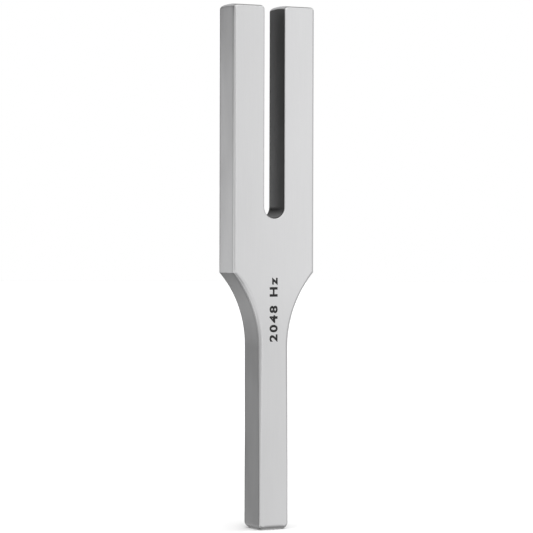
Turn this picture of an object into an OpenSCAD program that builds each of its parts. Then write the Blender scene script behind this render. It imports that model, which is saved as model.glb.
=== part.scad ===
// Two-pronged tuning fork, ground from one square-edged bar.
// Origin: centre of the foot of the stem. +Z runs up the stem to the tips of
// the tines, X runs across the two tines, and the front face looks along -Y.

/* [Bar] */
// Overall length, from the foot of the stem to the tips of the tines
overall_length = 132.2; // [126:0.1:140]
// Thickness of the whole fork, front to back
bar_depth = 8.5; // [7:0.1:10]
// Radius along the long edges
edge_radius = 0.6; // [0.2:0.1:1]

/* [Tines] */
// Width of each tine, from its outer side to the slot
tine_width = 8.55; // [7:0.05:10]
// Width of the slot between the tines
slot_width = 5.75; // [4.5:0.05:7]
// Length of the slot, from the tips to its lowest point
slot_length = 53.7; // [45:0.1:58]
// Radius on the side corners of the tips, seen from the front
tip_side_radius = 0.95; // [0.3:0.05:1.5]
// Radius on the front edge of the tips
tip_front_radius = 0.6; // [0.3:0.1:1.5]
// Radius on the back edge of the tips, which is ground off more
tip_back_radius = 1.2; // [0.3:0.1:2]
// Radius of the crown of the tips, which falls away to the front and the back
tip_crown_radius = 30; // [20:5:100]

/* [Yoke] */
// Height of the sharp shoulders above the foot
shoulder_height = 64.8; // [60:0.1:68]
// Radius of the two concave flares from the shoulders to the stem
flare_radius = 27; // [24:0.5:32]

/* [Stem] */
// Width of the stem, seen from the front
stem_width = 8.15; // [6.5:0.05:9]
// Radius all round the foot of the stem
foot_radius = 1.4; // [0.5:0.1:2]

/* [Flexure] */
// Gap under each tine that stands for the metal that bends there
root_gap = 0.02; // [0.02:0.01:0.1]

/* [Hidden] */

// How far a cut runs past the faces it goes through
overcut = 0.5;
satin_metal = [0.76, 0.76, 0.77];

body_width = 2 * tine_width + slot_width;
slot_radius = slot_width / 2;
// The tines start where the round bottom of the slot meets its straight sides
root_height = overall_length - slot_length + slot_radius;
// The flares are tangent to the stem and end on the sharp shoulders
flare_inset = (body_width - stem_width) / 2;
flare_height = sqrt(pow(flare_radius, 2) - pow(flare_radius - flare_inset, 2));
neck_height = shoulder_height - flare_height;

// How far the crown of the tips falls at this distance from its middle
function crown_drop(distance) =
    tip_crown_radius - sqrt(pow(tip_crown_radius, 2) - pow(distance, 2));

// Smoothness of a full circle, and of a large one
$fn = 96;
large_circle_sides = 360;

// What rounding takes off a square corner at the origin, metal at -x and -y
module corner_waste(radius) {
    difference() {
        translate([-radius, -radius]) square(radius + overcut);
        translate([-radius, -radius]) circle(radius);
    }
}

// The same along an edge that runs up Z, centred on the origin
module edge_waste(radius, length) {
    linear_extrude(length + 2 * overcut, center = true) corner_waste(radius);
}

// A block on Z = 0, centred on X and Y
module block(width, depth, height) {
    translate([-width / 2, -depth / 2, 0]) cube([width, depth, height]);
}

// The children and their mirror image, front to back
module front_and_back() {
    for (back = [0, 1]) mirror([0, back, 0]) children();
}

// The children and their mirror image, side to side
module both_sides() {
    for (left = [0, 1]) mirror([left, 0, 0]) children();
}

// Waste along the four long edges of a block
module long_edge_waste(width, height) {
    both_sides() front_and_back()
        translate([width / 2, bar_depth / 2, height / 2]) edge_waste(edge_radius, height);
}

// Waste along the edge across the back of a block's top
module back_edge_waste(width, height, radius) {
    translate([0, bar_depth / 2, height]) rotate([90, 0, 90]) edge_waste(radius, width);
}

// Waste along the edges across the two sides of a block's top
module side_edge_waste(width, height, radius) {
    both_sides()
        translate([width / 2, 0, height]) rotate([90, 0, 0]) edge_waste(radius, bar_depth);
}

// What crowning takes off a block's top
module crown_waste(width, height) {
    translate([0, 0, height]) rotate([90, 0, 90])
        linear_extrude(width + 2 * overcut, center = true)
            difference() {
                translate([-bar_depth / 2 - overcut, -bar_depth / 4])
                    square([bar_depth + 2 * overcut, bar_depth / 4 + 2 * overcut]);
                translate([0, -tip_crown_radius])
                    circle(tip_crown_radius, $fn = large_circle_sides);
            }
}

// Square stem with its foot rounded all round
module stem() {
    color(satin_metal)
        difference() {
            block(stem_width, bar_depth, neck_height);
            long_edge_waste(stem_width, neck_height);
            mirror([0, 0, 1]) {
                side_edge_waste(stem_width, 0, foot_radius);
                front_and_back() back_edge_waste(stem_width, 0, foot_radius);
            }
        }
}

// One flare: the cylinder that hollows it and the waste along its two edges
module flare_cut() {
    translate([stem_width / 2 + flare_radius, 0, neck_height]) rotate([90, 0, 0]) {
        cylinder(r = flare_radius, h = bar_depth + 2 * overcut, center = true, $fn = large_circle_sides);
        for (back = [0, 1]) mirror([0, 0, back])
            rotate_extrude($fn = large_circle_sides)
                translate([flare_radius, bar_depth / 2]) mirror([1, 0]) corner_waste(edge_radius);
    }
}

// Block under the tines: round slot bottom, sharp shoulders and two flares
module yoke() {
    yoke_height = root_height - neck_height;
    color(satin_metal)
        difference() {
            translate([0, 0, neck_height]) difference() {
                block(body_width, bar_depth, yoke_height);
                long_edge_waste(body_width, yoke_height);
            }
            both_sides() flare_cut();
            translate([0, 0, root_height]) rotate([90, 0, 0])
                cylinder(r = slot_radius, h = bar_depth + 2 * overcut, center = true);
        }
}

// The right tine: rounded on its outer long edges, crowned and rounded at its tip
module tine() {
    tine_length = overall_length - root_height - root_gap;
    front_drop = crown_drop(bar_depth / 2 - tip_front_radius);
    back_drop = crown_drop(bar_depth / 2 - tip_back_radius);
    color(satin_metal)
        translate([slot_radius + tine_width / 2, 0, root_height + root_gap])
            difference() {
                block(tine_width, bar_depth, tine_length + overcut);
                front_and_back()
                    translate([tine_width / 2, bar_depth / 2, tine_length / 2])
                        edge_waste(edge_radius, tine_length);
                crown_waste(tine_width, tine_length);
                side_edge_waste(tine_width, tine_length, tip_side_radius);
                mirror([0, 1, 0])
                    back_edge_waste(tine_width, tine_length - front_drop, tip_front_radius);
                back_edge_waste(tine_width, tine_length - back_drop, tip_back_radius);
            }
}

module right_tine() {
    tine();
}

module left_tine() {
    mirror([1, 0, 0]) tine();
}

stem();
yoke();
left_tine();
right_tine();
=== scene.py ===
"""Looks of the tuning fork: one bar of satin steel, a printed pitch mark and a white studio.

The fork is modelled as one skin and cut at the borders of the CAD nodes, so that no seam shows
where the stem, the yoke and the two tines meet. Lengths are in metres.
"""

import math

import bmesh
import bpy
from mathutils import Matrix, Vector


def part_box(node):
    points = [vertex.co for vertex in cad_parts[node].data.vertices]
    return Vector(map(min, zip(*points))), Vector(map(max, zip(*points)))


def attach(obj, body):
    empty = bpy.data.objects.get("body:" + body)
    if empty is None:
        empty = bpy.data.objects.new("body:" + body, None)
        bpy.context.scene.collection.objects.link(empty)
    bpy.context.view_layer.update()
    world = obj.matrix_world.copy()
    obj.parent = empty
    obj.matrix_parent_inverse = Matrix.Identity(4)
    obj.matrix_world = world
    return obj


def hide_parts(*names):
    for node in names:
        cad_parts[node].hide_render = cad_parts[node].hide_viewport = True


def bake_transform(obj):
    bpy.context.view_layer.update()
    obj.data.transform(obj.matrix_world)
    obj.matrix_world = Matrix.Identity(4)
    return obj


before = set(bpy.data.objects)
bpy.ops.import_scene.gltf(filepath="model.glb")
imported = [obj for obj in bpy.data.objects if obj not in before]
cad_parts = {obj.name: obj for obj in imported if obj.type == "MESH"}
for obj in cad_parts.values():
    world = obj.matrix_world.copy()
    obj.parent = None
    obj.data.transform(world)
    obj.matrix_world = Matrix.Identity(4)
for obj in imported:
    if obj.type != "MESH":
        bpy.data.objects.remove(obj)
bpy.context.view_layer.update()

MM = 0.001

# The ink stands proud of the skin by this, and the skin is set back by as much
MARK_PROUD = 0.004 * MM

# Sizes that the nodes' boxes give
STEM_LOW, STEM_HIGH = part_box("stem")
YOKE_LOW, YOKE_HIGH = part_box("yoke")
TINE_LOW, TINE_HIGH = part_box("right_tine")
FOOT = STEM_LOW.z
NECK = YOKE_LOW.z
ROOT = YOKE_HIGH.z
LENGTH = TINE_HIGH.z
HALF_STEM = STEM_HIGH.x
HALF_WIDTH = YOKE_HIGH.x
HALF_SLOT = TINE_LOW.x
HALF_DEPTH = YOKE_HIGH.y - MARK_PROUD

# Outline, seen from the front
FLARE_RADIUS = 27 * MM
FOOT_CORNER = 1.5 * MM
TIP_CORNER = 0.95 * MM
FLARE_HEIGHT = math.sqrt(FLARE_RADIUS**2 - (FLARE_RADIUS - (HALF_WIDTH - HALF_STEM)) ** 2)
FLARE_TURN = math.degrees(math.asin(FLARE_HEIGHT / FLARE_RADIUS))
SHOULDER = NECK + FLARE_HEIGHT
SLOT_BOTTOM = ROOT - HALF_SLOT

# Radii of the edges: wide round the foot and at the front left of the flares, small on the grip
# and along the slot. Only the front edges of the neck and the flares differ from left to right
FOOT_EDGE = 1.35 * MM
GRIP_EDGE = 0.45 * MM
GRIP_LOW = 13 * MM
GRIP_HIGH = 25 * MM
GRIP_HIGH_EDGE = 0.6 * MM
LEFT_NECK_EDGE = 1.05 * MM
LEFT_FLARE_EDGE = 1.3 * MM
RIGHT_NECK_EDGE = 0.9 * MM
RIGHT_FLARE_EDGE = 0.6 * MM
NECK_BACK_EDGE = 0.4 * MM
FLARE_BACK_EDGE = 0.55 * MM
SIDE_FRONT_EDGE = 0.75 * MM
SIDE_BACK_EDGE = 0.55 * MM
TIP_FRONT_EDGE = 0.6 * MM
TIP_BACK_EDGE = 0.95 * MM
SLOT_EDGE = 0.35 * MM
# How far up a flare its edges reach the flare's own radii, as a share of its arc
FLARE_EDGE_AT = 0.8

# The tips are crowned from front to back
CROWN_RADIUS = 30 * MM
CROWN_MIDDLE = 0.4 * MM
CROWN_FADE_LOW = LENGTH - 8 * MM
CROWN_FADE_HIGH = LENGTH - 1 * MM

# Fineness of the mesh
LINE_STEP = 2 * MM
END_STEP = 1 * MM
CORNER_STEPS = 8
LOW_FLARE_STEPS = 32
HIGH_FLARE_STEPS = 8
SLOT_STEPS = 20
ROUNDING_STEPS = 6
DEPTH_STEPS = 14
SHARP_ANGLE = math.radians(35)
FLAT_FACE_WEIGHT = 100
SAME_PLACE = 0.001 * MM


def smooth(t):
    """From 0 to 1 with t, level at both ends and beyond them."""
    t = min(1, max(0, t))
    return t * t * (3 - 2 * t)


def between(pair, t):
    """The number at the share t of the way from the pair's first to its second."""
    return pair[0] + (pair[1] - pair[0]) * t


def sine(degrees):
    return math.sin(math.radians(degrees))


def cosine(degrees):
    return math.cos(math.radians(degrees))


# ---------------------------------------------------------------- outline

class Outline:
    """Half of the fork, seen from the front, as points.

    A point has its place, the skin's normal there, and the radii of the front and the back edge.
    """

    def __init__(self):
        self.points = []

    def add(self, x, z, nx, nz, front_edge, back_edge):
        self.points.append((x, z, nx, nz, front_edge, back_edge))

    def line(self, start, end, normal, fronts, backs, step=LINE_STEP, skip=0):
        """Points along a straight side without its last. A pair of radii goes from start to end."""
        count = max(1, round(math.dist(start, end) / step))
        for i in range(skip, count):
            t = i / count
            x = start[0] + (end[0] - start[0]) * t
            z = start[1] + (end[1] - start[1]) * t
            self.add(x, z, *normal, between(fronts, t), between(backs, t))

    def arc(self, centre, radius, first, last, count, fronts, backs, hollow=False):
        """Points along an arc without its last, turning from the first to the last angle.

        Angles are in degrees from +X. The metal is inside the arc, or outside it if it's hollow.
        """
        sign = -1 if hollow else 1
        for i in range(count):
            t = i / count
            a = math.radians(first + (last - first) * t)
            x = centre[0] + radius * math.cos(a)
            z = centre[1] + radius * math.sin(a)
            nx, nz = sign * math.cos(a), sign * math.sin(a)
            self.add(x, z, nx, nz, between(fronts, t), between(backs, t))


def foot_outline(path):
    """From the middle of the foot round its corner."""
    corner = (HALF_STEM - FOOT_CORNER, FOOT + FOOT_CORNER)
    flat, turned = (FOOT_EDGE, FOOT_EDGE), (FOOT_EDGE, GRIP_EDGE)
    path.line((0, FOOT), (corner[0], FOOT), (0, -1), flat, flat, END_STEP)
    path.arc(corner, FOOT_CORNER, -90, 0, CORNER_STEPS, turned, turned)


def stem_outline(path, neck_edge):
    """Up the stem's side: height, front edge radius and back edge radius at each stop."""
    stops = (
        (FOOT + FOOT_CORNER, GRIP_EDGE, GRIP_EDGE),
        (GRIP_LOW, GRIP_EDGE, GRIP_EDGE),
        (GRIP_HIGH, GRIP_HIGH_EDGE, GRIP_HIGH_EDGE),
        (NECK, neck_edge, NECK_BACK_EDGE),
    )
    for (low, front_low, back_low), (high, front_high, back_high) in zip(stops, stops[1:]):
        start, end = (HALF_STEM, low), (HALF_STEM, high)
        path.line(start, end, (1, 0), (front_low, front_high), (back_low, back_high))


def flare_outline(path, neck_edge, flare_edge):
    """Up the hollow flare to the sharp shoulder, whose inset keeps both its sides' edges even."""
    centre = (HALF_STEM + FLARE_RADIUS, NECK)
    parting = 180 - FLARE_TURN * FLARE_EDGE_AT
    path.arc(
        centre, FLARE_RADIUS, 180, parting, LOW_FLARE_STEPS,
        (neck_edge, flare_edge), (NECK_BACK_EDGE, FLARE_BACK_EDGE), hollow=True,
    )
    path.arc(
        centre, FLARE_RADIUS, parting, 180 - FLARE_TURN, HIGH_FLARE_STEPS,
        (flare_edge, SIDE_FRONT_EDGE), (FLARE_BACK_EDGE, SIDE_BACK_EDGE), hollow=True,
    )
    inset_z = -sine(FLARE_TURN) / (1 + cosine(FLARE_TURN))
    path.add(HALF_WIDTH, SHOULDER, 1, inset_z, SIDE_FRONT_EDGE, SIDE_BACK_EDGE)


def tine_outline(path):
    """Up the outer side, over the tip and down the slot to the middle of its round bottom."""
    top = LENGTH - TIP_CORNER
    outer = HALF_WIDTH - TIP_CORNER
    inner = HALF_SLOT + TIP_CORNER
    side = (SIDE_FRONT_EDGE, SIDE_FRONT_EDGE), (SIDE_BACK_EDGE, SIDE_BACK_EDGE)
    tip = (TIP_FRONT_EDGE, TIP_FRONT_EDGE), (TIP_BACK_EDGE, TIP_BACK_EDGE)
    slot = (SLOT_EDGE, SLOT_EDGE), (SLOT_EDGE, SLOT_EDGE)
    path.line((HALF_WIDTH, SHOULDER), (HALF_WIDTH, ROOT), (1, 0), *side, skip=1)
    path.line((HALF_WIDTH, ROOT), (HALF_WIDTH, top), (1, 0), *side)
    path.arc(
        (outer, top), TIP_CORNER, 0, 90, CORNER_STEPS,
        (SIDE_FRONT_EDGE, TIP_FRONT_EDGE), (SIDE_BACK_EDGE, TIP_BACK_EDGE),
    )
    path.line((outer, LENGTH), (inner, LENGTH), (0, 1), *tip, END_STEP)
    path.arc(
        (inner, top), TIP_CORNER, 90, 180, CORNER_STEPS,
        (TIP_FRONT_EDGE, SLOT_EDGE), (TIP_BACK_EDGE, SLOT_EDGE),
    )
    path.line((HALF_SLOT, top), (HALF_SLOT, ROOT), (-1, 0), *slot)
    path.arc((0, ROOT), HALF_SLOT, 0, -90, SLOT_STEPS, *slot, hollow=True)
    path.add(0, SLOT_BOTTOM, 0, 1, SLOT_EDGE, SLOT_EDGE)


def half_outline(neck_edge, flare_edge):
    """The points on the right, from the middle of the foot to the middle of the slot's bottom."""
    path = Outline()
    foot_outline(path)
    stem_outline(path, neck_edge)
    flare_outline(path, neck_edge, flare_edge)
    tine_outline(path)
    return path.points


def whole_outline():
    """All round the fork: the right half, then the left one, mirrored, from the slot back down."""
    right = half_outline(RIGHT_NECK_EDGE, RIGHT_FLARE_EDGE)
    mirrored = half_outline(LEFT_NECK_EDGE, LEFT_FLARE_EDGE)
    left = [(-x, z, -nx, *rest) for x, z, nx, *rest in reversed(mirrored[1:-1])]
    return right + left


# ---------------------------------------------------------------- skin

def crown_drop(y, z):
    """How far the crown of the tips lowers the skin at this depth and height."""
    drop = CROWN_RADIUS - math.sqrt(CROWN_RADIUS**2 - (y - CROWN_MIDDLE) ** 2)
    return drop * smooth((z - CROWN_FADE_LOW) / (CROWN_FADE_HIGH - CROWN_FADE_LOW))


def rounding(edge):
    """Inset and depth of each ring over one rounded edge, from the flat face to the side."""
    for i in range(ROUNDING_STEPS + 1):
        a = math.pi / 2 * i / ROUNDING_STEPS
        yield edge * (1 - math.sin(a)), HALF_DEPTH - edge * (1 - math.cos(a))


def across_bar(front_edge, back_edge):
    """Inset and depth of every ring at one place on the outline, from the front to the back."""
    front = [(inset, -depth) for inset, depth in rounding(front_edge)]
    back = [(inset, depth) for inset, depth in rounding(back_edge)]
    near, far = front[-1][1], back[-1][1]
    middle = [(0, between((near, far), i / DEPTH_STEPS)) for i in range(1, DEPTH_STEPS)]
    return front + middle + back[::-1]


def make_column(bm, wear_and_shade_layer, point):
    """The skin's vertices at one place on the outline, from front to back, marking the rounded edges
    as worn and painted darker.
    """
    x, z, nx, nz, front_edge, back_edge = point
    column = []
    for inset, y in across_bar(front_edge, back_edge):
        low_z = z - nz * inset
        column.append(bm.verts.new((x - nx * inset, y, low_z - crown_drop(y, low_z))))
    # The rings over the rounded edges, which are worn smoother and painted darker as painted shade
    for vert in column[1 : ROUNDING_STEPS + 1] + column[-ROUNDING_STEPS - 1 : -1]:
        vert[wear_and_shade_layer] = 1
    return column


def make_skin():
    """The whole fork as one closed skin: columns side by side, and the two flat faces."""
    bm = bmesh.new()
    wear_and_shade_layer = bm.verts.layers.float.new("edge_wear_and_shade")
    columns = [make_column(bm, wear_and_shade_layer, point) for point in whole_outline()]
    for column, following in zip(columns, columns[1:] + columns[:1]):
        for i in range(len(column) - 1):
            bm.faces.new((column[i], following[i], following[i + 1], column[i + 1]))
    front = [column[0] for column in columns]
    back = [column[-1] for column in columns]
    bm.faces.new(front[::-1])
    bm.faces.new(back)
    part_flat_face(bm, front)
    part_flat_face(bm, back)
    bmesh.ops.recalc_face_normals(bm, faces=bm.faces)
    return bm


def part_flat_face(bm, ring):
    """Crosses the flat face with level edges, so that no face wraps round the slot."""
    levels = {}
    for vert in ring:
        levels.setdefault(round(vert.co.z / SAME_PLACE), []).append(vert)
    lowest = FOOT + FOOT_CORNER - SAME_PLACE
    highest = SLOT_BOTTOM - SLOT_EDGE - SAME_PLACE
    for level in sorted(levels):
        across = sorted(levels[level], key=lambda v: v.co.x)
        z = across[0].co.z
        if len(across) == 2 and lowest < z < highest:
            bmesh.ops.connect_verts(bm, verts=across)
        elif len(across) == 4 and z > ROOT - SAME_PLACE:
            bmesh.ops.connect_verts(bm, verts=across[:2])
            bmesh.ops.connect_verts(bm, verts=across[2:])


def keep_side(bm, place, direction):
    """Cuts the mesh with a plane and drops what lies on the side that the direction points to."""
    everything = bm.verts[:] + bm.edges[:] + bm.faces[:]
    bmesh.ops.bisect_plane(
        bm, geom=everything, dist=SAME_PLACE, plane_co=place, plane_no=direction, clear_outer=True
    )


def cut_piece(skin, name, low=None, high=None, side=0):
    """The closed piece of the skin between two heights, and on one side if side isn't 0."""
    bm = skin.copy()
    if low is not None:
        keep_side(bm, (0, 0, low), (0, 0, -1))
    if high is not None:
        keep_side(bm, (0, 0, high), (0, 0, 1))
    if side:
        keep_side(bm, (0, 0, 0), (-side, 0, 0))
    bmesh.ops.holes_fill(bm, edges=[e for e in bm.edges if e.is_boundary], sides=0)
    bmesh.ops.recalc_face_normals(bm, faces=bm.faces)
    for face in bm.faces:
        face.smooth = True
    for edge in bm.edges:
        edge.smooth = edge.calc_face_angle(math.pi) < SHARP_ANGLE
    mesh = bpy.data.meshes.new(name)
    bm.to_mesh(mesh)
    bm.free()
    obj = bpy.data.objects.new(name, mesh)
    bpy.context.collection.objects.link(obj)
    weighted = obj.modifiers.new("flat_faces", "WEIGHTED_NORMAL")
    weighted.keep_sharp = True
    weighted.weight = FLAT_FACE_WEIGHT
    return obj


# ---------------------------------------------------------------- pitch mark

MARK_TEXT = "2048 Hz"
MARK_CAP_HEIGHT = 2.3 * MM
MARK_MIDDLE = -0.2 * MM
MARK_START = 47.4 * MM
MARK_STRETCH = 1.25
MARK_DEPTH = 0.02 * MM
# Spacing of the letters, as a factor, and thickening of their strokes, for letters of size 1
MARK_SPACING = 1.3
MARK_BOLDNESS = 0.038


def make_lettering(name):
    """The pitch as a flat mesh, in letters of size 1."""
    curve = bpy.data.curves.new(name + "_text", "FONT")
    curve.body = MARK_TEXT
    curve.size = 1
    curve.space_character = MARK_SPACING
    curve.offset = MARK_BOLDNESS
    curve.fill_mode = "BOTH"
    text = bpy.data.objects.new(name + "_text", curve)
    bpy.context.collection.objects.link(text)
    bpy.context.view_layer.update()
    depsgraph = bpy.context.evaluated_depsgraph_get()
    mesh = bpy.data.meshes.new_from_object(text.evaluated_get(depsgraph))
    mesh.name = name
    bpy.data.objects.remove(text)
    bpy.data.curves.remove(curve)
    return mesh


def make_mark(name):
    """The pitch, printed up the middle of the yoke's front face."""
    mesh = make_lettering(name)
    bm = bmesh.new()
    bm.from_mesh(mesh)
    bmesh.ops.beautify_fill(bm, faces=bm.faces, edges=bm.edges)
    low = Vector(min(v.co[i] for v in bm.verts) for i in range(3))
    high = Vector(max(v.co[i] for v in bm.verts) for i in range(3))
    scale = MARK_CAP_HEIGHT / (high.y - low.y)
    middle = (low.y + high.y) / 2
    for v in bm.verts:
        along = MARK_START + (v.co.x - low.x) * scale * MARK_STRETCH
        across = MARK_MIDDLE - (v.co.y - middle) * scale
        v.co = (across, -HALF_DEPTH - MARK_PROUD, along)
    made = bmesh.ops.extrude_face_region(bm, geom=bm.faces[:])
    back = [g for g in made["geom"] if isinstance(g, bmesh.types.BMVert)]
    bmesh.ops.translate(bm, verts=back, vec=(0, MARK_DEPTH, 0))
    bmesh.ops.recalc_face_normals(bm, faces=bm.faces)
    bm.to_mesh(mesh)
    bm.free()
    obj = bpy.data.objects.new(name, mesh)
    bpy.context.collection.objects.link(obj)
    return obj


# ---------------------------------------------------------------- materials

# Tone, roughness, and how much darker the grip is painted than the tines, which is painted shade
FACE_FINISH_AND_GRIP_SHADE = 0.625, 0.40, 0.04
# The tines' outer sides get a lighter copy of the same steel: painted light
SIDE_PAINTED_LIGHT = 0.74, 0.42, 0
# The stem's and the flares' sides get a much darker copy of the same steel, partly painted shade
FLANK_PARTLY_PAINTED_SHADE = 0.33, 0.42, 0
# The slot's walls get a much darker copy of the same steel: painted shade between the tines
SLOT_PAINTED_SHADE = 0.215, 0.42, 0
# Their places among a piece's materials
FACE, SIDE, FLANK, SLOT = 0, 1, 2, 3

# Patterns in the steel: features per metre along X, Y and Z, and levels of detail
GRAIN = (9000, 9000, 90), 4.0
CLOUDS = (160, 160, 60), 3.0
SCRATCHES = (22000, 22000, 500), 2.0
# Most of a pattern's values lie between these, and the rest count as the nearer one
NOISE_LOW = 0.3
NOISE_HIGH = 0.7

# How far the grain, the clouds and the painted light across the fork, lighter to the right, change the
# steel either way
GRAIN_TONE = 0.012
CLOUD_TONE = 0.012
SIDEWAYS_PAINTED_LIGHT = 0.032
GRAIN_ROUGHNESS = 0.03
CLOUD_ROUGHNESS = 0.02
# How much darker the rounded edges are painted, as a share, which is painted shade, and how much less
# rough the worn edges are
EDGE_PAINTED_SHADE = 0.19
EDGE_POLISH = 0.08
BLUE_TINT = 1.008
GRAIN_STRETCH = 0.85
SCRATCH_STRENGTH = 0.04
SCRATCH_DEPTH = 0.02 * MM
# Keeps the level direction from vanishing where the surface faces straight up or down
LEVEL_NUDGE = (0.0001, 0, 0)

INK_SPECKLE = (4000, 4000, 4000), 3.0
INK_TONES = 0.006, 0.018
# The ink's tone reaches its lightest at this value of the speckle
INK_TONE_NOISE_HIGH = 0.75
INK_ROUGHNESS = 0.45, 0.6
INK_GLOSS = 0.25

BOARD_MOTTLE = (60, 60, 60), 2.0
BOARD_TONES = 0.79, 0.81
BOARD_ROUGHNESS = 0.9


class Graph:
    """Short calls for building a node tree, which is emptied first."""

    def __init__(self, tree):
        tree.nodes.clear()
        self.nodes = tree.nodes
        self.links = tree.links

    def node(self, kind, **settings):
        made = self.nodes.new("ShaderNode" + kind)
        for name, value in settings.items():
            setattr(made, name, value)
        return made

    def link(self, source, target):
        self.links.new(source, target)

    def math(self, operation, a, b):
        """The result of a Math node. Each of a and b is a socket or a number."""
        made = self.node("Math", operation=operation)
        for socket, value in zip(made.inputs, (a, b)):
            if isinstance(value, bpy.types.NodeSocket):
                self.link(value, socket)
            else:
                socket.default_value = value
        return made.outputs[0]

    def mapped(self, source, from_low, from_high, to_low, to_high, smoothed=False):
        made = self.node("MapRange", interpolation_type="SMOOTHSTEP" if smoothed else "LINEAR")
        self.link(source, made.inputs["Value"])
        made.inputs["From Min"].default_value = from_low
        made.inputs["From Max"].default_value = from_high
        made.inputs["To Min"].default_value = to_low
        made.inputs["To Max"].default_value = to_high
        return made.outputs["Result"]

    def varied(self, noise, low, high):
        """A value that goes from low to high with the noise."""
        return self.mapped(noise, NOISE_LOW, NOISE_HIGH, low, high)

    def noise(self, scale, detail):
        """Noise over the piece's own coordinates, with so many features per metre on each axis."""
        place = self.node("TexCoord").outputs["Object"]
        stretch = self.node("Mapping")
        stretch.inputs["Scale"].default_value = scale
        self.link(place, stretch.inputs["Vector"])
        made = self.node("TexNoise")
        made.inputs["Scale"].default_value = 1.0
        made.inputs["Detail"].default_value = detail
        self.link(stretch.outputs[0], made.inputs["Vector"])
        return made.outputs["Fac"]

    def colour(self, red, green, blue):
        made = self.node("CombineColor")
        self.link(red, made.inputs["Red"])
        self.link(green, made.inputs["Green"])
        self.link(blue, made.inputs["Blue"])
        return made.outputs[0]


def new_material(name):
    material = bpy.data.materials.new(name)
    material.use_nodes = True
    graph = Graph(material.node_tree)
    shader = graph.node("BsdfPrincipled")
    output = graph.node("OutputMaterial")
    graph.link(shader.outputs[0], output.inputs["Surface"])
    return material, graph, shader


def level_direction(graph):
    """The level direction across the lengthwise grain, anywhere on the surface."""
    cross = graph.node("VectorMath", operation="CROSS_PRODUCT")
    cross.inputs[0].default_value = (0, 0, 1)
    graph.link(graph.node("NewGeometry").outputs["Normal"], cross.inputs[1])
    nudged = graph.node("VectorMath", operation="ADD")
    nudged.inputs[1].default_value = LEVEL_NUDGE
    graph.link(cross.outputs[0], nudged.inputs[0])
    return nudged.outputs[0]


def steel_colour(graph, tone, grip_painted_shade, grain, cloud, worn_and_shaded):
    """Grey that varies with the grain and in clouds, with painted light across the fork and painted
    shade on the grip and on the rounded edges.
    """
    place = graph.node("SeparateXYZ")
    graph.link(graph.node("TexCoord").outputs["Object"], place.inputs[0])
    across, height = place.outputs["X"], place.outputs["Z"]
    darkest, lightest = tone - SIDEWAYS_PAINTED_LIGHT, tone + SIDEWAYS_PAINTED_LIGHT
    pattern = graph.math(
        "ADD",
        graph.varied(grain, -GRAIN_TONE, GRAIN_TONE),
        graph.varied(cloud, -CLOUD_TONE, CLOUD_TONE),
    )
    # Painted light across the fork, lighter to the right, and painted shade on the grip
    painted_light_and_shade = graph.math(
        "ADD",
        graph.mapped(across, -HALF_WIDTH, HALF_WIDTH, darkest, lightest),
        # Painted shade: the grip is darker up to the neck, fading out by the shoulder
        graph.mapped(height, NECK, SHOULDER, -grip_painted_shade, 0, smoothed=True),
    )
    shade = graph.math("ADD", pattern, painted_light_and_shade)
    # Painted shade: the rounded edges are darker
    grey = graph.math("MULTIPLY", shade, graph.mapped(worn_and_shaded, 0, 1, 1, 1 - EDGE_PAINTED_SHADE))
    return graph.colour(grey, grey, graph.math("MULTIPLY", grey, BLUE_TINT))


def steel(name, tone, roughness, grip_painted_shade):
    """Bar steel with a fine lengthwise grain that stretches highlights sideways, and worn edges that
    are smoother and painted darker as painted shade.
    """
    material, graph, shader = new_material(name)
    grain = graph.noise(*GRAIN)
    cloud = graph.noise(*CLOUDS)
    # The rounded edges: worn smoother, and painted darker as painted shade
    worn_and_shaded = graph.node("Attribute", attribute_name="edge_wear_and_shade").outputs["Fac"]
    colour = steel_colour(graph, tone, grip_painted_shade, grain, cloud, worn_and_shaded)
    graph.link(colour, shader.inputs["Base Color"])

    rough = graph.math(
        "ADD",
        graph.varied(grain, roughness - GRAIN_ROUGHNESS, roughness + GRAIN_ROUGHNESS),
        graph.varied(cloud, -CLOUD_ROUGHNESS, CLOUD_ROUGHNESS),
    )
    rough = graph.math("SUBTRACT", rough, graph.math("MULTIPLY", worn_and_shaded, EDGE_POLISH))
    graph.link(rough, shader.inputs["Roughness"])
    shader.inputs["Metallic"].default_value = 1.0
    shader.inputs["Anisotropic"].default_value = GRAIN_STRETCH
    graph.link(level_direction(graph), shader.inputs["Tangent"])

    bump = graph.node("Bump")
    bump.inputs["Strength"].default_value = SCRATCH_STRENGTH
    bump.inputs["Distance"].default_value = SCRATCH_DEPTH
    graph.link(graph.noise(*SCRATCHES), bump.inputs["Height"])
    graph.link(bump.outputs[0], shader.inputs["Normal"])
    return material


def mark_ink():
    """Matte black ink, a little thin in places."""
    material, graph, shader = new_material("mark_ink")
    speckle = graph.noise(*INK_SPECKLE)
    tone = graph.mapped(speckle, NOISE_LOW, INK_TONE_NOISE_HIGH, *INK_TONES)
    graph.link(graph.colour(tone, tone, tone), shader.inputs["Base Color"])
    graph.link(graph.varied(speckle, *INK_ROUGHNESS), shader.inputs["Roughness"])
    shader.inputs["Specular IOR Level"].default_value = INK_GLOSS
    return material


def white_board():
    """Matte white board, very slightly mottled."""
    material, graph, shader = new_material("white_board")
    tone = graph.varied(graph.noise(*BOARD_MOTTLE), *BOARD_TONES)
    graph.link(graph.colour(tone, tone, tone), shader.inputs["Base Color"])
    shader.inputs["Roughness"].default_value = BOARD_ROUGHNESS
    shader.inputs["Specular IOR Level"].default_value = 0.0
    return material


def white_glow():
    """White that glows evenly all over."""
    material = bpy.data.materials.new("white_glow")
    material.use_nodes = True
    graph = Graph(material.node_tree)
    glow = graph.node("Emission")
    glow.inputs["Strength"].default_value = 1.0
    output = graph.node("OutputMaterial")
    graph.link(glow.outputs[0], output.inputs["Surface"])
    return material


# ---------------------------------------------------------------- studio

FLOOR_RADIUS = 3.0
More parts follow.
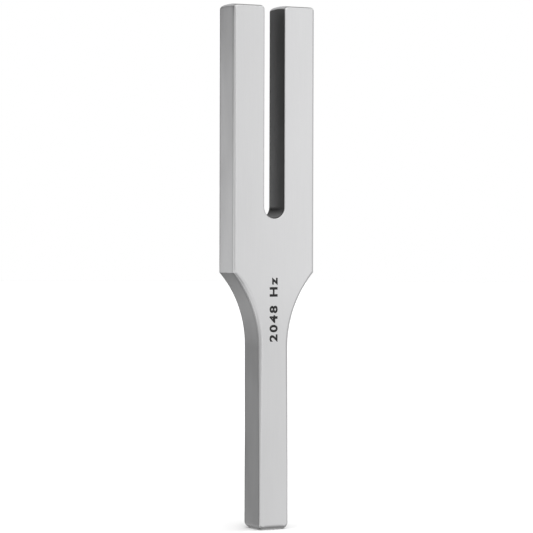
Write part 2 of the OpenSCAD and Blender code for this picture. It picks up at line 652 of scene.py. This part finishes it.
# The floor's innermost ring, which one face fills
FLOOR_MIDDLE = 0.3
DOME_STEPS = 24
ROUND_STEPS = 96


def revolve(name, profile):
    """A surface of revolution round Z from (radius, height) points, closed over the first one."""
    bm = bmesh.new()
    rings = []
    for radius, height in profile:
        ring = []
        for i in range(ROUND_STEPS):
            a = math.tau * i / ROUND_STEPS
            ring.append(bm.verts.new((radius * math.cos(a), radius * math.sin(a), height)))
        rings.append(ring)
    for low, high in zip(rings, rings[1:]):
        for i in range(ROUND_STEPS):
            j = (i + 1) % ROUND_STEPS
            bm.faces.new((low[i], low[j], high[j], high[i]))
    bm.faces.new(rings[0])
    mesh = bpy.data.meshes.new(name)
    bm.to_mesh(mesh)
    bm.free()
    obj = bpy.data.objects.new(name, mesh)
    bpy.context.collection.objects.link(obj)
    return obj


def make_set():
    """A white floor and a white dome over it. The steel mirrors the cards, and neither of these."""
    floor = revolve("floor", [(FLOOR_MIDDLE, 0), (FLOOR_RADIUS, 0)])
    floor.data.materials.append(white_board())
    floor.visible_glossy = False
    turns = [math.pi / 2 * i / DOME_STEPS for i in reversed(range(DOME_STEPS))]
    dome = [(FLOOR_RADIUS * math.cos(a), FLOOR_RADIUS * math.sin(a)) for a in turns]
    backdrop = revolve("backdrop", dome)
    backdrop.data.materials.append(white_glow())
    backdrop.visible_glossy = False
    backdrop.visible_diffuse = False
    backdrop.visible_shadow = False


AMBIENT = 0.02
# White cards with soft edges. In degrees: the heading of a card's middle, half its width and the
# soft edge at each side, its lowest and its highest rise and the soft edge beyond each of them.
# In order: front right, front left, low left, low back right, and all round below
CARDS = (
    dict(turn=140, half=48, soft=35, low=3, low_soft=75, high=60, high_soft=30, light=1.17),
    dict(turn=-141, half=37, soft=28, low=-28, low_soft=50, high=60, high_soft=30, light=1.03),
    dict(turn=-64, half=19, soft=12, low=-62, low_soft=18, high=-2, high_soft=11, light=1.76),
    dict(turn=45, half=30, soft=14, low=-60, low_soft=20, high=4, high_soft=6, light=0.42),
    dict(turn=0, half=175, soft=5, low=-80, low_soft=10, high=-28, high_soft=14, light=0.42),
)
# The sky is dark up to this rise, and has its full light above the soft edge
SKY_LOW = 14
SKY_SOFT = 30
SKY_LIGHT = 0.6


def heading(degrees):
    """Level unit vector that points this many degrees from +Y towards +X."""
    return Vector((sine(degrees), cosine(degrees), 0))


def card_light(graph, level, rise, turn, half, soft, low, low_soft, high, high_soft, light):
    """How much light one card sends from a level direction and the sine of a rise."""
    dot = graph.node("VectorMath", operation="DOT_PRODUCT")
    graph.link(level, dot.inputs[0])
    dot.inputs[1].default_value = heading(turn)
    toward = dot.outputs["Value"]
    top_end = min(90, high + high_soft)
    width = graph.mapped(toward, cosine(half + soft), cosine(half), 0, light, smoothed=True)
    bottom = graph.mapped(rise, sine(low - low_soft), sine(low), 0, 1, smoothed=True)
    top = graph.mapped(rise, sine(high), sine(top_end), 1, 0, smoothed=True)
    return graph.math("MULTIPLY", graph.math("MULTIPLY", width, bottom), top)


def make_world():
    """What the steel mirrors: soft white cards and a dim sky in nearly black surroundings."""
    world = bpy.data.worlds.new("studio")
    world.use_nodes = True
    graph = Graph(world.node_tree)
    direction = graph.node("TexCoord").outputs["Generated"]
    split = graph.node("SeparateXYZ")
    graph.link(direction, split.inputs[0])
    rise = split.outputs["Z"]
    flattened = graph.node("VectorMath", operation="MULTIPLY")
    graph.link(direction, flattened.inputs[0])
    flattened.inputs[1].default_value = (1, 1, 0)
    level = graph.node("VectorMath", operation="NORMALIZE")
    graph.link(flattened.outputs[0], level.inputs[0])

    light = AMBIENT
    for card in CARDS:
        light = graph.math("ADD", light, card_light(graph, level.outputs[0], rise, **card))
    sky_full = sine(SKY_LOW + SKY_SOFT)
    sky = graph.mapped(rise, sine(SKY_LOW), sky_full, 0, SKY_LIGHT, smoothed=True)
    light = graph.math("ADD", light, sky)
    background = graph.node("Background")
    graph.link(light, background.inputs["Strength"])
    output = graph.node("OutputWorld")
    graph.link(background.outputs[0], output.inputs["Surface"])
    bpy.context.scene.world = world


OVERHEAD_LIGHT = 1.8
OVERHEAD_SPREAD = math.radians(100)


def make_overhead():
    """Broad soft light from above that whitens the floor and isn't mirrored."""
    data = bpy.data.lights.new("overhead", "SUN")
    data.energy = OVERHEAD_LIGHT
    data.angle = OVERHEAD_SPREAD
    light = bpy.data.objects.new("overhead", data)
    light.visible_glossy = False
    bpy.context.collection.objects.link(light)


# ---------------------------------------------------------------- camera

# Lens and sensor are in millimetres, and the turn, the pitch and the roll in degrees
LENS = 160.4
SENSOR = 36.0
CAMERA_TURN = 28.08
CAMERA_DISTANCE = 0.601
CAMERA_HEIGHT = 0.0747
CAMERA_PITCH = 0.80
CAMERA_ROLL = 0.144
CLIP_NEAR = 0.01
CLIP_FAR = 50


def make_camera():
    """Camera at the photographed angle: from the front left, a little above the fork's middle."""
    turn, pitch, roll = (math.radians(a) for a in (CAMERA_TURN, CAMERA_PITCH, CAMERA_ROLL))
    forward = Vector((
        math.sin(turn) * math.cos(pitch),
        math.cos(turn) * math.cos(pitch),
        -math.sin(pitch),
    ))
    right = Vector((math.cos(turn), -math.sin(turn), 0))
    up = right.cross(forward)
    right, up = (
        right * math.cos(roll) + up * math.sin(roll),
        up * math.cos(roll) - right * math.sin(roll),
    )
    data = bpy.data.cameras.new("camera")
    data.lens = LENS
    data.sensor_width = SENSOR
    data.clip_start = CLIP_NEAR
    data.clip_end = CLIP_FAR
    camera = bpy.data.objects.new("camera", data)
    place = Vector((
        -math.sin(turn) * CAMERA_DISTANCE,
        -math.cos(turn) * CAMERA_DISTANCE,
        CAMERA_HEIGHT,
    ))
    turned = Matrix((right, up, -forward)).transposed().to_4x4()
    camera.matrix_world = Matrix.Translation(place) @ turned
    bpy.context.collection.objects.link(camera)
    bpy.context.scene.camera = camera


# ---------------------------------------------------------------- assembly

# A face counts as front or back where the Y part of its normal is above these. The lower one
# gives more of each rounded edge on the stem and the flares the front's steel, not the flank's darker
# copy
SIDE_LIMIT = 0.7
FLANK_LIMIT = 0.5
# Other faces are on the tips or the foot where the X part is no more than this
END_LIMIT = 0.25
SLOT_MARGIN = 0.01 * MM


def give_finishes_and_painted_light(piece, finishes_and_painted_light):
    """Gives each face its place's steel: the front's, a copy painted lighter on the tines' sides as
    painted light, one painted darker on the flanks as partly painted shade, and one painted darker in
    the slot as painted shade. The front's is also the back's, the tips' and the foot's.
    """
    for material in finishes_and_painted_light:
        piece.data.materials.append(material)
    for face in piece.data.polygons:
        x, _, z = face.center
        if abs(face.normal.y) > (SIDE_LIMIT if z > SHOULDER else FLANK_LIMIT):
            face.material_index = FACE
        elif abs(x) < HALF_SLOT + SLOT_MARGIN and z > SLOT_BOTTOM - SLOT_MARGIN:
            face.material_index = SLOT
        elif abs(face.normal.x) > END_LIMIT:
            face.material_index = FLANK if z < SHOULDER else SIDE


def build_fork():
    # The front's steel, a copy with painted light for the tines' sides, and copies with painted shade
    # for the flanks, in part, and for the slot
    finishes_and_painted_light = (
        steel("satin_face", *FACE_FINISH_AND_GRIP_SHADE),
        steel("satin_side_painted_light", *SIDE_PAINTED_LIGHT),
        steel("flank_partly_painted_shade", *FLANK_PARTLY_PAINTED_SHADE),
        steel("slot_painted_shade", *SLOT_PAINTED_SHADE),
    )
    skin = make_skin()
    stem = cut_piece(skin, "satin_stem", high=NECK)
    yoke = cut_piece(skin, "satin_yoke", low=NECK, high=ROOT)
    for piece, node in ((stem, "stem"), (yoke, "yoke")):
        give_finishes_and_painted_light(piece, finishes_and_painted_light)
        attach(piece, "stem_and_yoke")
        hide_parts(node)
    for side, node in ((-1, "left_tine"), (1, "right_tine")):
        tine = cut_piece(skin, "satin_" + node, low=ROOT, side=side)
        give_finishes_and_painted_light(tine, finishes_and_painted_light)
        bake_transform(tine)
        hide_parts(node)
    skin.free()

    mark = make_mark("pitch_mark")
    mark.data.materials.append(mark_ink())
    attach(mark, "stem_and_yoke")


build_fork()
make_set()
make_world()
make_overhead()
make_camera()
bpy.context.scene.view_settings.view_transform = "Standard"
bpy.context.scene.view_settings.look = "None"
